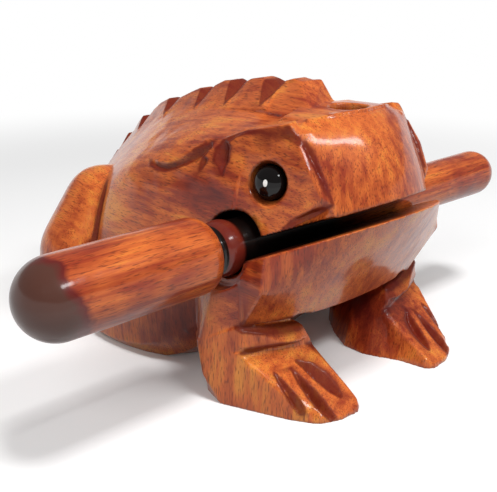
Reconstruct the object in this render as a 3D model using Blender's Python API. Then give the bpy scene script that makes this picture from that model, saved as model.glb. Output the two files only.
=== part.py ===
"""Carved wooden frog guiro with its turned stick stored through the cross bore.

Lengths below are in millimetres in the carver's frame: x across the frog (its left is +x),
y from the stick's axis towards the tail, z up from the table. The model itself is in metres,
with its origin in the middle of the flat belly.
"""
import math

import bmesh
import bpy
from mathutils import Matrix, Vector

MM = 0.001
REACH = 60.0              # cutters run this far, clear of the whole frog
CREASE_ANGLE = math.radians(30)
BELLY_Y = 40.0            # the belly's middle lies this far behind the stick's axis
FIT_GAP = 0.3             # clearance between pieces that touch

# Stick
STICK_Z = 33.3            # height of the stick's axis
HANDLE_RADIUS = 8.0
HANDLE_END = -74.6        # tip of the handle's dome
HANDLE_SHOULDER = -29.0   # inner end of the handle
HANDLE_ROUND = 2.6        # round of the handle's shoulder
GROOVE_RADIUS = 4.6
GROOVE_WIDTH = 1.2
ROD_RADIUS = 6.0
COLLAR_LENGTH = 4.0
ROD_END = 67.4            # tip of the rod's dome
STICK_SIDES = 40
STICK_TURN = -0.9         # degrees: the stick lies slightly askew in its bore

# Cross bore, mouth and sound hole
BORE_RADIUS = 6.7
BORE_Y = -1.0
SLIT_SLOPE = -0.43        # the saw cut rises towards the lips
SLIT_UPPER = 33.0         # height of the upper lip's plane above the stick's axis line
SLIT_LOWER = 29.1         # height of the lower lip's plane there
SOUND_HOLE_Y = -9.0
SOUND_HOLE_RADIUS = 4.2

# Eyes
EYE_CENTRE = (21.4, -6.5, 47.0)
EYE_AXIS = (0.93, -0.32, 0.19)
EYE_SINK_RADIUS = 4.6     # rim of the countersink
EYE_SINK_DEPTH = 1.6
BEAD_RADIUS = 3.5
BEAD_DEPTH = 4.2          # bead's back face below the cheek
BEAD_EDGE = 1.4           # bead's widest rim below the cheek
BEAD_DOME = 2.2           # height of the dome above that rim
BEAD_SIDES = 32


def clear_scene():
    for obj in list(bpy.data.objects):
        bpy.data.objects.remove(obj, do_unlink=True)


def place(point):
    return Vector((point[0], point[1] - BELLY_Y, point[2])) * MM


def material(name, colour, roughness):
    mat = bpy.data.materials.new(name)
    mat.use_nodes = True
    shader = mat.node_tree.nodes["Principled BSDF"]
    shader.inputs["Base Color"].default_value = (*colour, 1.0)
    shader.inputs["Roughness"].default_value = roughness
    mat.diffuse_color = (*colour, 1.0)
    return mat


def new_object(name, bm):
    bmesh.ops.recalc_face_normals(bm, faces=bm.faces)
    mesh = bpy.data.meshes.new(name)
    bm.to_mesh(mesh)
    bm.free()
    mesh.shade_smooth()
    mesh.set_sharp_from_angle(angle=CREASE_ANGLE)
    obj = bpy.data.objects.new(name, mesh)
    bpy.context.scene.collection.objects.link(obj)
    return obj


def hull(name, points):
    """Convex solid around the points."""
    bm = bmesh.new()
    verts = [bm.verts.new(place(p)) for p in points]
    result = bmesh.ops.convex_hull(bm, input=verts)
    spare = {g for g in result["geom_interior"] + result["geom_unused"] if isinstance(g, bmesh.types.BMVert)}
    bmesh.ops.delete(bm, geom=list(spare), context="VERTS")
    return new_object(name, bm)


def loft(name, rings):
    """Closed solid through rings that have the same number of points."""
    bm = bmesh.new()
    rows = [[bm.verts.new(place(p)) for p in ring] for ring in rings]
    count = len(rows[0])
    for lower, upper in zip(rows, rows[1:]):
        for i in range(count):
            j = (i + 1) % count
            bm.faces.new((lower[i], lower[j], upper[j], upper[i]))
    bm.faces.new(rows[0])
    bm.faces.new(rows[-1])
    return new_object(name, bm)


def mirrored(points):
    return [(-x, y, z) for x, y, z in points]


def both(points):
    return list(points) + mirrored(points)


def catmull(values, t):
    """Smooth curve through a list of tuples; t runs from 0 to len(values) - 1."""
    last = len(values) - 1
    i = min(int(t), last - 1)
    u = t - i
    p0, p1 = values[max(i - 1, 0)], values[i]
    p2, p3 = values[i + 1], values[min(i + 2, last)]
    return tuple(
        0.5 * (2 * b + (c - a) * u + (2 * a - 5 * b + 4 * c - d) * u * u + (3 * b - a - 3 * c + d) * u ** 3)
        for a, b, c, d in zip(p0, p1, p2, p3))


def boolean(obj, cutter, operation):
    mod = obj.modifiers.new(cutter.name, "BOOLEAN")
    mod.operation = operation
    mod.solver = "MANIFOLD"       # EXACT leaves open edges where the many hulls cross
    mod.object = cutter
    cutter.hide_render = True
    cutter.display_type = "WIRE"
    cutter.hide_set(True)


# Trunk: half sections (across, up) from the crest line down to the belly's middle
TRUNK_SECTIONS = (
    (0.0, ((0, 57.6), (9, 57.0), (18.6, 56.2), (22.5, 49), (25.0, 40), (25.5, 30), (20, 21), (0, 18))),
    (12.0, ((0, 59.6), (9, 57.6), (21.6, 53.0), (25.6, 46), (28.0, 36), (29.0, 22), (25, 5), (0, 0.5))),
    (25.0, ((0, 58.6), (9, 56.2), (23.2, 48.9), (28.0, 41), (31.5, 30), (33.0, 15), (29, -1), (0, -1))),
    (41.0, ((0, 55.8), (9, 52.2), (24.6, 41.4), (29.0, 34), (32.0, 24), (33.6, 10), (31, -1), (0, -1))),
    (55.0, ((0, 50.0), (8, 46.4), (20.0, 36.0), (25.0, 28), (27.5, 18), (28.5, 8), (27, -1), (0, -1))),
    (67.0, ((0, 42.5), (7, 39.4), (15.0, 30.5), (20.0, 22), (23.0, 14), (24.0, 6), (22, -1), (0, -1))),
    (77.0, ((0, 34.6), (5, 32.0), (10.0, 25.0), (14.0, 17), (16.0, 11), (17.0, 5), (16, -1), (0, -1))),
    (83.0, ((0, 27.0), (3, 25.5), (6.0, 20.0), (8.0, 14), (9.0, 10), (10.0, 6), (9, -1), (0, -1))),
    (85.5, ((0, 21.0), (1.6, 20.0), (3.0, 16.0), (4.0, 12), (5.0, 9), (5.0, 6), (4, -1), (0, -1))),
)
TRUNK_RING_STEPS = 3
TRUNK_STATIONS = 3


def trunk_ring(y, half):
    steps = (len(half) - 1) * TRUNK_RING_STEPS
    right = [catmull(half, k / TRUNK_RING_STEPS) for k in range(steps + 1)]
    left = [(-x, z) for x, z in right[1:-1]]
    return [(x, y, z) for x, z in right] + [(x, y, z) for x, z in reversed(left)]


def make_trunk():
    stations = []
    flat = [(y,) + tuple(v for point in half for v in point) for y, half in TRUNK_SECTIONS]
    for k in range((len(flat) - 1) * TRUNK_STATIONS + 1):
        row = catmull(flat, k / TRUNK_STATIONS)
        half = [(row[i], row[i + 1]) for i in range(1, len(row), 2)]
        half[0] = (0.0, half[0][1])
        half[-1] = (0.0, half[-1][1])
        stations.append(trunk_ring(row[0], half))
    return loft("trunk", stations)


def arc_front(width, y_side, y_front, z_side, z_front, count=9):
    """Points of a shallow arc across the front, from -width to +width."""
    points = []
    for k in range(count):
        a = -1 + 2 * k / (count - 1)
        bulge = 1 - a * a
        points.append((a * width, y_side + (y_front - y_side) * bulge, z_side + (z_front - z_side) * bulge))
    return points


def make_snout():
    lip = arc_front(15.2, -19.6, -24.6, 41.2, 43.4)
    brow = arc_front(15.6, -11.6, -18.4, 54.6, 55.2)
    top = arc_front(13.0, -9.6, -14.8, 59.0, 59.4)
    under = arc_front(15.0, -18.6, -22.6, 38.0, 38.5)
    back = both([(18.4, 4, 55.6), (8, 6, 56.8), (21, 6, 40), (19, 6, 30), (16.5, -9, 30)])
    sides = both([(16.4, -9.5, 56.6), (17.0, -12.5, 42.0), (20.0, -5, 36), (18.2, -5, 56.6)])
    return hull("snout", lip + brow + top + under + back + sides)


def make_cheek(side):
    face = [(17.6, -10.2, 57.2), (18.4, -15.0, 50.6), (17.6, -18.0, 45.4), (19.6, -14.0, 41.6), (23.4, -9.2, 37.0),
            (25.8, -6.6, 30.0), (26.4, 2.0, 33.0), (26.8, 8, 38), (25.8, 14, 45.5), (22.0, 12.5, 51.8),
            (20.6, 1.0, 56.2), (17.8, -8.8, 58.8)]
    base = [(15.8, -10.6, 57.6), (15.4, -15.6, 50.6), (14.8, -19.2, 43.6), (16.6, -15.0, 38.6), (19, -9.4, 34.0),
            (20, -7.5, 28), (20, 8, 28), (21, 14, 44), (18, 12, 52.0), (17.2, 0, 57.2), (15.4, -8.5, 59.2)]
    points = [(x * side, y, z) for x, y, z in face + base]
    return hull("cheek", points)


def make_jaw():
    lip = arc_front(28.6, -13.4, -27.0, 35.0, 41.0, 11)
    low = arc_front(30.0, -13.6, -19.4, 27.4, 30.0, 11)
    chin = arc_front(20.0, -12.6, -14.2, 18.6, 18.2, 7)
    corner = both([(29.8, -7.8, 18.3), (30.4, -8.2, 29.2), (27.6, -6.0, 33.5), (26.5, 2, 33), (27, 3, 18)])
    root = [(0, 8, 34), (0, 6, 17)]
    return hull("jaw", lip + low + chin + corner + root)


def make_leg(side):
    upper = [(28.4, -9.8, 29.0), (30.0, -7.8, 27.9), (32.2, -1.2, 23.8), (30.5, 5.0, 24.0), (25.6, 7.6, 30.3),
             (16.2, -8.8, 19.2), (16.4, 3.6, 20.2), (29.5, -7.5, 17.9), (33.9, 1.1, 12.4), (30.8, 5.1, 12.1),
             (15.8, -8.8, 14.6), (16.2, 3.8, 14.6)]
    lower = [(29.9, -8.0, 18.5), (34.2, 1.3, 13.4), (34.2, -0.4, 6.3), (32.4, -5.4, -1.4), (30.4, 2.0, -1.4),
             (33.2, -3.4, 2.4), (31, 5.5, 13.0), (24.3, 7.2, 13.7), (24, 6.2, -1.4), (14.6, -10.6, 15.2),
             (15.5, 0.0, 16.0), (13.4, -12.6, 11.4), (9.4, -11.0, 5.0), (6.6, -11.0, -1.4), (6.6, -5.0, -1.4),
             (10.0, 1.0, -1.4), (15.7, 8.0, -1.4), (17.0, 8.5, 8.0), (29.4, -9.0, 12.6), (30.0, -8.8, 6.0),
             (20.0, -13.2, 12.8), (8.4, -15.4, -1.4), (8.6, -5.0, 6.0)]
    shoulder = [(26, 8.2, 29.6), (22, 10, 22), (18, 4.2, 20.9), (28, 10, 34), (28.4, -6.4, 30.3), (27, -4, 34.2),
                (30.2, 5.3, 23.6), (24.2, 9.2, 11.6), (30.5, 5.8, 13.5)]
    parts = [upper, lower, shoulder]
    return [hull("leg", [(x * side, y, z) for x, y, z in pts]) for pts in parts]


TOES = (
    # tip (across, y), root (across, y, z), half widths at the tip, along the root's foot and along its crown
    ((23.4, -23.4), (27.2, -9.8, 12.6), 1.3, 3.0, 2.0),
    ((18.8, -25.9), (21.2, -12.0, 12.6), 1.2, 2.0, 1.0),
    ((13.9, -26.8), (15.6, -12.4, 11.2), 1.2, 2.0, 1.0),
)
TOE_ROOT = 5.0            # how far each toe runs back into the instep
WEB = ((31.0, -8.3, -0.7), (25.4, -20.6, -0.7), (22.8, -22.8, -0.7), (15.0, -25.4, -0.7), (11.4, -21.5, -0.7),
       (8.7, -15.1, -0.7), (28.9, -8.7, 9.6), (21.5, -12.0, 9.8), (14.6, -11.7, 8.6), (10.4, -12.0, 5.0),
       (23.2, -21.6, 0.8), (18.8, -23.6, 0.8), (14.2, -24.6, 0.8), (10.1, -9.8, -0.7), (28.0, -6.1, -0.7))
TOE_SINK = 0.3            # each toe's block reaches a little deeper than the last before the belly is planed flat


def make_foot(side):
    solids = [hull("web", [(x * side, y, z) for x, y, z in WEB])]
    for k, ((tip_x, tip_y), (root_x, root_y, root_z), tip_half, foot_half, crown_half) in enumerate(TOES):
        sole = -1.8 - k * TOE_SINK
        back = root_y + TOE_ROOT + k * TOE_SINK
        points = [(tip_x, tip_y, 0.4), (tip_x, tip_y, sole), (tip_x, tip_y + 1.0, 2.2)]
        for s in (-1, 1):
            points += [(tip_x + s * tip_half, tip_y + 0.8, sole), (tip_x + s * tip_half * 0.6, tip_y + 1.0, 1.6),
                       (root_x + s * foot_half, root_y, sole), (root_x + s * foot_half, root_y, root_z - 3.2),
                       (root_x + s * crown_half, root_y, root_z),
                       (root_x + s * foot_half, back, sole),
                       (root_x + s * foot_half, back, root_z - 2)]
        solids.append(hull("toe", [(x * side, y, z) for x, y, z in points]))
    return solids


# Haunch: balls (across, y, up, radius) that a smooth skin is stretched around
HAUNCH_BALLS = ((20.6, 55.4, 29.2, 10.1), (27.2, 55.8, 17.4, 11.5), (28.0, 58.0, 8.5, 10.0), (20.0, 69.0, 12.0, 9.0))


def make_haunch(side):
    points = []
    for x, y, z, r in HAUNCH_BALLS:
        for lat in (-75, -45, -15, 15, 45, 75):
            for lon in range(0, 360, 30):
                a, b = math.radians(lat), math.radians(lon)
                points.append((side * (x + r * math.cos(a) * math.cos(b)), y + r * math.cos(a) * math.sin(b),
                               z + r * math.sin(a)))
    return [hull("haunch", points)]


# Hind foot: sole outline (across, y, height of the upper face above it)
HIND_FOOT = ((22.0, 48.0, 6.0), (31.0, 45.8, 4.6), (37.6, 48.2, 2.2), (39.4, 51.0, 2.4), (39.0, 54.4, 2.6), (35.0, 63.0, 6.0),
             (26.0, 67.0, 7.0))
HIND_FOOT_SOLE = -1.2
HIND_NOTCHES = (((40.8, 49.4), (34.6, 51.6)), ((41.4, 52.8), (35.0, 54.0)))     # between the toes, tip to root
HIND_NOTCH_HALF = 0.9


def make_hind_foot(side):
    points = []
    for x, y, z in HIND_FOOT:
        points += [(side * x, y, HIND_FOOT_SOLE), (side * x, y, z)]
    points.append((side * 27.0, 56.0, 12.0))
    return hull("hind_foot", points)


def make_hind_notches(side):
    cuts = []
    for (tip_x, tip_y), (root_x, root_y) in HIND_NOTCHES:
        points = [(side * root_x, root_y, 7.2), (side * tip_x, tip_y, -2.0)]
        for s in (-HIND_NOTCH_HALF, HIND_NOTCH_HALF):
            points += [(side * root_x, root_y + s, 8.0), (side * tip_x, tip_y + 1.6 * s, 8.0),
                       (side * tip_x, tip_y + 1.6 * s, -1.8)]
        cuts.append(hull("hind_notch_cut", points))
    return cuts


# Crest: gaps between the teeth and the teeth's tops along the back (y, z)
GAPS = ((11.0, 62.2), (23.2, 61.1), (34.8, 58.4), (48.3, 54.3), (60.8, 47.6), (69.0, 41.6), (75.7, 35.8), (81.2, 31.0))
TEETH = (
    ((-2.6, 58.2), (2.6, 64.2), (5.4, 64.6), (8.8, 63.6)),
    ((12.9, 63.4), (15.6, 63.8), (18.8, 63.2)),
    ((25.2, 62.2), (28.2, 61.8), (31.6, 60.3)),
    ((37.4, 59.0), (41.0, 57.6), (45.2, 55.8)),
    ((50.6, 54.8), (54.6, 53.0), (58.6, 50.2)),
    ((62.4, 49.0), (65.0, 46.7), (67.6, 43.9)),
    ((70.4, 42.9), (72.6, 40.6), (74.6, 38.1)),
    ((76.8, 36.9), (78.6, 35.0), (80.4, 32.4)),
)
RIDGE_HALVES = (2.0, 2.0, 2.0, 1.8, 1.5, 1.2, 1.0, 0.8)     # half width of each tooth's narrow top
SKIRT = ((-2.9, 4.9, 57.2), (6.6, 9.6, 58.6), (19.0, 9.4, 57.2), (30.5, 9.2, 54.8), (44.0, 8.8, 51.0),
         (57.0, 8.2, 45.2), (66.0, 7.4, 39.8), (73.4, 6.4, 34.2), (80.0, 4.4, 29.4))
CREST_DEPTH = 7.0


def make_crest():
    bm = bmesh.new()

    def both_verts(points):
        return [[bm.verts.new(place((side * w, y, z))) for y, w, z in points] for side in (1, -1)]

    ridges = [both_verts([(y, half, z) for y, z in tooth]) for tooth, half in zip(TEETH, RIDGE_HALVES)]
    gaps = both_verts([(y, half, z) for (y, z), half in zip(GAPS, RIDGE_HALVES)])
    skirts = both_verts(SKIRT)
    floors = both_verts([(y, w, z - CREST_DEPTH) for y, w, z in SKIRT])
    top = [[], []]
    for k in (0, 1):
        skirt, floor = skirts[k], floors[k]
        for i in range(len(TEETH)):
            tooth = ridges[i][k]
            for a, b in zip(tooth, tooth[1:]):
                bm.faces.new((skirt[i], a, b))
            bm.faces.new((skirt[i], tooth[-1], skirt[i + 1]))
            bm.faces.new((skirt[i + 1], tooth[-1], gaps[k][i]))
            if i + 1 < len(TEETH):
                bm.faces.new((skirt[i + 1], gaps[k][i], ridges[i + 1][k][0]))
            top[k] += tooth + [gaps[k][i]]
        for i in range(len(SKIRT) - 1):
            bm.faces.new((skirt[i], skirt[i + 1], floor[i + 1], floor[i]))
    for i in range(len(top[0]) - 1):
        bm.faces.new((top[0][i], top[0][i + 1], top[1][i + 1], top[1][i]))
    for i in range(len(SKIRT) - 1):
        bm.faces.new((floors[0][i], floors[0][i + 1], floors[1][i + 1], floors[1][i]))
    for i in (0, -1):
        bm.faces.new((skirts[0][i], top[0][i], top[1][i], skirts[1][i], floors[1][i], floors[0][i]))
    return new_object("crest", bm)


def cylinder(name, start, end, radius_start, radius_end, sides=40):
    """Round solid from one point to another, both in the carver's frame."""
    a, b = place(start), place(end)
    axis = b - a
    bm = bmesh.new()
    bmesh.ops.create_cone(bm, cap_ends=True, segments=sides, radius1=radius_start * MM, radius2=radius_end * MM,
                          depth=axis.length)
    turn = Vector((0, 0, 1)).rotation_difference(axis.normalized()).to_matrix().to_4x4()
    bmesh.ops.transform(bm, matrix=Matrix.Translation((a + b) / 2) @ turn, verts=bm.verts)
    return new_object(name, bm)


def bore_z():
    return STICK_Z - ROD_RADIUS - FIT_GAP + BORE_RADIUS


def eye_line(side):
    """Middle of an eye on the cheek and the direction it looks in."""
    centre = Vector((EYE_CENTRE[0] * side, EYE_CENTRE[1], EYE_CENTRE[2]))
    axis = Vector((EYE_AXIS[0] * side, EYE_AXIS[1], EYE_AXIS[2])).normalized()
    return centre, axis


def stick_point(x):
    """Point of the stick's slightly askew axis."""
    turn = math.radians(STICK_TURN)
    return (x * math.cos(turn), BORE_Y + x * math.sin(turn), STICK_Z)


# Carved trenches: (x, y, z, half width, depth) along the surface of the frog's left side
LEAF_TRENCH = ((25.4, 26.6, 46.6, 0.4, 0.5), (26.0, 24.3, 45.8, 0.8, 1.0), (26.1, 20.7, 45.8, 0.9, 1.1),
               (25.7, 17.7, 46.8, 0.9, 1.1), (24.8, 14.5, 48.5, 1.3, 1.3), (24.0, 12.2, 50.0, 1.8, 1.8),
               (22.2, 9.6, 52.6, 1.5, 0.6))
EAR_TRENCH = ((21.9, 5.6, 53.6, 1.2, 0.5), (22.9, 5.1, 50.6, 1.5, 1.4), (24.0, 4.2, 47.0, 0.2, 0.2))
NICK_TRENCH = ((24.2, 9.6, 49.3, 0.8, 0.9), (25.3, 10.3, 46.7, 0.2, 0.2))
HAUNCH_TRENCH = ((22.6, 50.0, 41.2, 0.6, 0.6), (27.0, 45.6, 36.2, 1.4, 1.6), (31.0, 44.6, 30.2, 2.6, 3.0),
                 (33.6, 44.6, 22.0, 3.2, 3.6), (34.6, 44.6, 12.0, 3.0, 3.2), (34.0, 44.6, 3.0, 1.6, 1.6))
ANKLE_TRENCH = ((31.4, -6.6, 12.6, 0.6, 0.8), (29.4, -9.0, 12.6, 0.9, 1.0), (25.6, -11.0, 12.6, 0.9, 1.2),
                (21.0, -12.9, 12.5, 0.9, 1.2), (16.0, -13.1, 11.6, 0.9, 1.2), (12.4, -12.6, 10.4, 0.9, 1.0))
ANKLE_FACING = Vector((0.3, -0.9, 0.3))
TRENCH_FACING = Vector((0.86, 0.0, 0.5))
HAUNCH_FACING = Vector((0.92, -0.22, 0.32))
TRENCH_RISE = 3.0


def trench(name, points, facing, side):
    """Cutter with a V section that follows the points."""
    facing = facing.normalized()
    spots = [Vector(p[:3]) for p in points]
    sections = []
    for k, (spot, (_, _, _, half, depth)) in enumerate(zip(spots, points)):
        along = spots[min(k + 1, len(spots) - 1)] - spots[max(k - 1, 0)]
        across = along.cross(facing).normalized() * half * (1 + TRENCH_RISE / depth)
        rim = spot + facing * TRENCH_RISE
        sections.append((spot - facing * depth, rim + across, rim - across))
    return loft(name, [[(side * p.x, p.y, p.z) for p in section] for section in sections])


def make_cuts():
    cuts = []
    cuts.append(hull("floor_cut", both([(REACH, y, z) for y in (-REACH, 2 * REACH) for z in (0, -REACH)])))
    cuts.append(cylinder("bore_cut", (-REACH, BORE_Y, bore_z()), (REACH, BORE_Y, bore_z()), BORE_RADIUS, BORE_RADIUS))
    cuts.append(cylinder("handle_seat_cut", stick_point(-REACH), stick_point(HANDLE_SHOULDER + FIT_GAP),
                         HANDLE_RADIUS + FIT_GAP, HANDLE_RADIUS + FIT_GAP))
    slit = [(REACH, y, z0 + SLIT_SLOPE * y) for z0 in (SLIT_LOWER, SLIT_UPPER) for y in (-REACH, 0)]
    cuts.append(hull("mouth_cut", both(slit)))
    hole_foot = (SLIT_LOWER + SLIT_UPPER) / 2 + SLIT_SLOPE * SOUND_HOLE_Y
    cuts.append(cylinder("sound_hole_cut", (0, SOUND_HOLE_Y, hole_foot + REACH), (0, SOUND_HOLE_Y, hole_foot),
                         SOUND_HOLE_RADIUS, SOUND_HOLE_RADIUS, 32))
    for side in (-1, 1):
        cuts.append(trench("leaf_cut", LEAF_TRENCH, TRENCH_FACING, side))
        cuts.append(trench("ear_cut", EAR_TRENCH, TRENCH_FACING, side))
        cuts.append(trench("nick_cut", NICK_TRENCH, TRENCH_FACING, side))
        cuts.append(trench("haunch_cut", HAUNCH_TRENCH, HAUNCH_FACING, side))
        cuts += make_hind_notches(side)
        cuts.append(trench("ankle_cut", ANKLE_TRENCH, ANKLE_FACING, side))
        centre, axis = eye_line(side)
        seat = BEAD_RADIUS + FIT_GAP
        slope = (EYE_SINK_RADIUS - seat) / EYE_SINK_DEPTH
        cuts.append(cylinder("eye_sink_cut", centre + axis * EYE_SINK_DEPTH, centre - axis * EYE_SINK_DEPTH,
                             EYE_SINK_RADIUS + slope * EYE_SINK_DEPTH, seat, 36))
        cuts.append(cylinder("eye_seat_cut", centre + axis, centre - axis * (BEAD_DEPTH + FIT_GAP), seat, seat, 36))
    return cuts


def make_frog(mat):
    frog = make_trunk()
    frog.name = "frog_body"
    solids = [make_snout(), make_jaw(), make_crest()]
    for side in (-1, 1):
        solids.append(make_cheek(side))
        solids += make_leg(side)
        solids += make_foot(side)
        solids += make_haunch(side)
        solids.append(make_hind_foot(side))
    for solid in solids:
        boolean(frog, solid, "UNION")
    for cut in make_cuts():
        boolean(frog, cut, "DIFFERENCE")
    frog.data.materials.append(mat)
    return frog


def revolve(name, profile, sides):
    """Turned solid around the stick's axis; profile is (x, radius) from end to end."""
    rings = []
    for x, r in profile[1:-1]:
        rings.append([(x, r * math.cos(2 * math.pi * k / sides), STICK_Z + r * math.sin(2 * math.pi * k / sides))
                      for k in range(sides)])
    bm = bmesh.new()
    rows = [[bm.verts.new(place(p)) for p in ring] for ring in rings]
    for lower, upper in zip(rows, rows[1:]):
        for i in range(sides):
            j = (i + 1) % sides
            bm.faces.new((lower[i], lower[j], upper[j], upper[i]))
    for row, (x, _) in ((rows[0], profile[0]), (rows[-1], profile[-1])):
        tip = bm.verts.new(place((x, 0, STICK_Z)))
        for i in range(sides):
            bm.faces.new((row[i], row[(i + 1) % sides], tip))
    return new_object(name, bm)


def arc(cx, cr, radius, start, end, steps):
    return [(cx + radius * math.cos(math.radians(start + (end - start) * k / steps)),
             cr + radius * math.sin(math.radians(start + (end - start) * k / steps))) for k in range(steps + 1)]


def make_striker(mat):
    profile = [(HANDLE_END, 0)]
    profile += arc(HANDLE_END + HANDLE_RADIUS, 0, HANDLE_RADIUS, 170, 90, 9)
    profile += arc(HANDLE_SHOULDER - HANDLE_ROUND, HANDLE_RADIUS - HANDLE_ROUND, HANDLE_ROUND, 90, 10, 5)
    profile += [(HANDLE_SHOULDER + 0.1, GROOVE_RADIUS), (HANDLE_SHOULDER + GROOVE_WIDTH, GROOVE_RADIUS)]
    collar = HANDLE_SHOULDER + GROOVE_WIDTH
    profile += [(collar + 0.2, ROD_RADIUS - 1.0), (collar + 1.2, ROD_RADIUS), (collar + COLLAR_LENGTH, ROD_RADIUS)]
    profile += arc(ROD_END - ROD_RADIUS, 0, ROD_RADIUS, 90, 10, 8)
    profile += [(ROD_END, 0)]
    striker = revolve("striker", profile, STICK_SIDES)
    pivot = place((0, BORE_Y, STICK_Z))
    shift = Matrix.Translation(pivot) @ Matrix.Rotation(math.radians(STICK_TURN), 4, "Z")
    striker.data.transform(shift @ Matrix.Translation(-place((0, 0, STICK_Z))))
    striker.data.materials.append(mat)
    return striker


def make_eye(name, side, mat):
    centre, axis = eye_line(side)
    profile = [(-BEAD_DEPTH, BEAD_RADIUS - 0.3), (0.3 - BEAD_DEPTH, BEAD_RADIUS), (-BEAD_EDGE, BEAD_RADIUS)]
    for degrees in (20, 40, 60, 78):
        a = math.radians(degrees)
        profile.append((BEAD_DOME * math.sin(a) - BEAD_EDGE, BEAD_RADIUS * math.cos(a)))
    u = axis.cross(Vector((0, 0, 1))).normalized()
    v = axis.cross(u).normalized()
    bm = bmesh.new()
    rows = []
    for depth, r in profile:
        row = []
        for k in range(BEAD_SIDES):
            a = 2 * math.pi * k / BEAD_SIDES
            row.append(bm.verts.new(place(centre + axis * depth + (u * math.cos(a) + v * math.sin(a)) * r)))
        rows.append(row)
    for lower, upper in zip(rows, rows[1:]):
        for i in range(BEAD_SIDES):
            j = (i + 1) % BEAD_SIDES
            bm.faces.new((lower[i], lower[j], upper[j], upper[i]))
    bm.faces.new(rows[0])
    tip = bm.verts.new(place(centre + axis * (BEAD_DOME - BEAD_EDGE)))
    for i in range(BEAD_SIDES):
        bm.faces.new((rows[-1][i], rows[-1][(i + 1) % BEAD_SIDES], tip))
    eye = new_object(name, bm)
    eye.data.materials.append(mat)
    return eye


def main():
    clear_scene()
    wood = material("lacquered_hardwood", (0.42, 0.13, 0.03), 0.3)
    stick = material("lacquered_stick", (0.38, 0.12, 0.03), 0.3)
    bead = material("black_bead", (0.01, 0.006, 0.005), 0.1)
    make_frog(wood)
    make_striker(stick)
    make_eye("eye_right", -1, bead)
    make_eye("eye_left", 1, bead)


main()
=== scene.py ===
"""Carved and lacquered frog guiro with its turned stick, on a plain white table."""

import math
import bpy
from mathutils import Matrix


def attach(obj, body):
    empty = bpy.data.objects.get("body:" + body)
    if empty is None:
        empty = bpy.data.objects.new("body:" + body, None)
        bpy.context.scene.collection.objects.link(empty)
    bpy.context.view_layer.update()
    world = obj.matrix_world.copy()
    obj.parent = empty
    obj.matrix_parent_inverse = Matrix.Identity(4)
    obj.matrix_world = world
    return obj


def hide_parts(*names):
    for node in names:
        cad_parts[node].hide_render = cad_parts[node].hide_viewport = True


bl_info = {
    "name": "Carved frog guiro",
    "version": (1, 0, 0),
    "blender": (4, 5, 0),
    "location": "3D View > Sidebar > Guiro",
    "description": "Makes a lacquered wooden frog guiro, its stick, its bead eyes and a plain studio",
    "category": "Object",
}

import bmesh
import bpy
import numpy as np
from mathutils import Matrix, Vector
from mathutils.bvhtree import BVHTree
from mathutils.kdtree import KDTree

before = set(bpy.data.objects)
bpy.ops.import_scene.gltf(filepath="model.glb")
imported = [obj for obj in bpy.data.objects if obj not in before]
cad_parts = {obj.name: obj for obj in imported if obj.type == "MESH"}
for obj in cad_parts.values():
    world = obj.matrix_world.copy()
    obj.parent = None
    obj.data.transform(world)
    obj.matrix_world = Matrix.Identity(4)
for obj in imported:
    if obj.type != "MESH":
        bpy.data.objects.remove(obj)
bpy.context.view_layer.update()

MM = 0.001
BELLY_Y = 40.0            # the model's origin lies this far behind the stick's axis, in mm


def linear(hex_colour):
    """sRGB hex colour as linear red, green, blue."""
    parts = [int(hex_colour[i:i + 2], 16) / 255 for i in (0, 2, 4)]
    return tuple(c / 12.92 if c <= 0.04045 else ((c + 0.055) / 1.055) ** 2.4 for c in parts)


def place(point):
    """Point in the carver's frame, in mm, as a point of the model, in metres."""
    return Vector((point[0] * MM, (point[1] - BELLY_Y) * MM, point[2] * MM))


def length(name, description, default_mm):
    return bpy.props.FloatProperty(name=name, description=description, default=default_mm * MM, min=0.0,
                                   unit="LENGTH", subtype="DISTANCE", precision=5)


def colour(name, description, hex_colour):
    return bpy.props.FloatVectorProperty(name=name, description=description, default=linear(hex_colour), size=3,
                                         min=0.0, max=1.0, subtype="COLOR")


def count(name, description, default):
    return bpy.props.IntProperty(name=name, description=description, default=default, min=0)


class GuiroCarving(bpy.types.PropertyGroup):
    skin: length("Skin", "Spacing of the points on the carved surface", 0.3)
    crease_reach: length("Crease reach", "Distance from an arris over which the sanding fades out", 1.5)
    sanding: count("Sanding", "Passes of sanding away from the arrises", 120)
    arris_wear: count("Arris wear", "Passes of sanding over the arrises", 1)
    triangles: count("Triangles", "Most triangles that the carved frog may have", 190000)
    chatter: length("Chatter", "Spacing of the marks that the chisel leaves in a groove", 0.9)


class GuiroStick(bpy.types.PropertyGroup):
    rows: count("Rows", "Rings of points along the turned stick", 360)
    sides: count("Sides", "Points round the turned stick", 96)


class GuiroColours(bpy.types.PropertyGroup):
    amber: colour("Amber", "Palest wood under the lacquer", "DA8636")
    orange: colour("Orange", "Usual colour of the wood", "C8642C")
    red: colour("Red brown", "Dark heartwood", "93361B")
    maroon: colour("Maroon", "Stain that gathers in the knife cuts", "5E1813")
    fleck: colour("Fleck", "Pores that the lacquer darkens", "4E1C0E")
    # painted highlight along the arrises, in a paler wood colour
    arris_sheen: colour("Worn arris", "Arrises where the stain is rubbed thin", "D08A48")
    end_grain: colour("End grain", "End of the handle, which drinks most stain", "4F2F26")
    # painted shade: the colour laid where the mouth, the bore, the sound hole and the stick's neck groove lie in
    # shade, and at part strength as a ring in each eye's socket
    painted_shade: colour("Hollow", "Inside of the mouth and the bore, where no light comes", "0C0504")
    bead: colour("Bead", "Black glass bead of the eye", "0C0808")
    dot: colour("Dot", "Painted dot on the bead", "F6F4F0")
    table: colour("Table", "White table and backdrop", "FFFFFF")


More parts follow.
